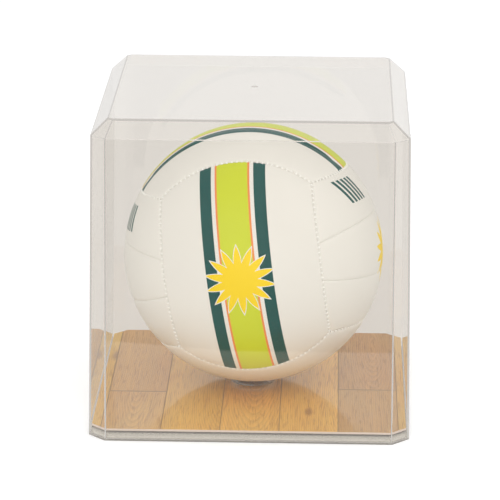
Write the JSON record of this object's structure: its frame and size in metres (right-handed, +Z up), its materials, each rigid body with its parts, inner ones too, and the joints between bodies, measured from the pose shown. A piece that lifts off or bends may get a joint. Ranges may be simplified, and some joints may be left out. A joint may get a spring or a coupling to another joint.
{
  "type": "volleyball display case",
  "caption": "Clear display case with a lift-off bevelled cover, tray and wood-strip floor, holding a stitched volleyball on a small ring.",
  "frame": {"origin": "middle of the case's foot, on the surface that it stands on", "axes": "+Z up, -Y towards the front, +X to the right as seen from the front"},
  "size_m": [0.25, 0.25, 0.254],
  "materials": {
    "clear_plastic": "clear moulded plastic, polished, faint warm tint",
    "floor_wood": "oak strips under satin-gloss lacquer, grain front to back",
    "backing_board": "dull brown board",
    "ball_cover_leather": "cream synthetic leather, fine grain, stitched seams, printed bands",
    "ball_lining_cloth": "plain woven cloth",
    "bladder_rubber": "black rubber, smooth",
    "valve_rubber": "dark rubber, matte"
  },
  "bodies": {
    "case_base": {"base_tray": "clear_plastic", "floor_backing": "backing_board", "floor_strip_left_edge": "floor_wood", "floor_strip_1_front": "floor_wood", "floor_strip_1_back": "floor_wood", "floor_strip_2": "floor_wood", "floor_strip_3": "floor_wood", "floor_strip_4": "floor_wood", "floor_strip_5_front": "floor_wood", "floor_strip_5_back": "floor_wood", "floor_strip_right_edge": "floor_wood"},
    "cover": {"cover": "clear_plastic"},
    "ball_ring": {"ball_ring": "clear_plastic"},
    "ball": {"ball_front_panel": "ball_cover_leather", "ball_back_strip_right": "ball_cover_leather", "ball_back_strip_middle": "ball_cover_leather", "ball_back_strip_left": "ball_cover_leather", "ball_left_strip_lower": "ball_cover_leather", "ball_left_strip_middle": "ball_cover_leather", "ball_left_strip_upper": "ball_cover_leather", "ball_right_strip_upper": "ball_cover_leather", "ball_right_strip_middle": "ball_cover_leather", "ball_right_strip_lower": "ball_cover_leather", "ball_bottom_strip_back": "ball_cover_leather", "ball_bottom_strip_middle": "ball_cover_leather", "ball_bottom_strip_front": "ball_cover_leather", "ball_top_strip_front": "ball_cover_leather", "ball_top_strip_middle": "ball_cover_leather", "ball_top_strip_back": "ball_cover_leather", "ball_lining": "ball_lining_cloth", "ball_bladder": "bladder_rubber", "ball_valve": "valve_rubber"}
  },
  "joints": [
    {"name": "cover_lift", "type": "slide", "parent": "case_base", "child": "cover", "axis": [0, 0, 1], "range_m": [0, 0.26]},
    {"name": "ball_turn", "type": "hinge", "parent": "case_base", "child": "ball_ring", "pos_m": [0, 0, 0.0095], "axis": [0, 0, 1], "continuous": true},
    {"name": "ball_lift", "type": "slide", "parent": "ball_ring", "child": "ball", "axis": [0, 0, 1], "range_m": [0, 0.028]}
  ]
}
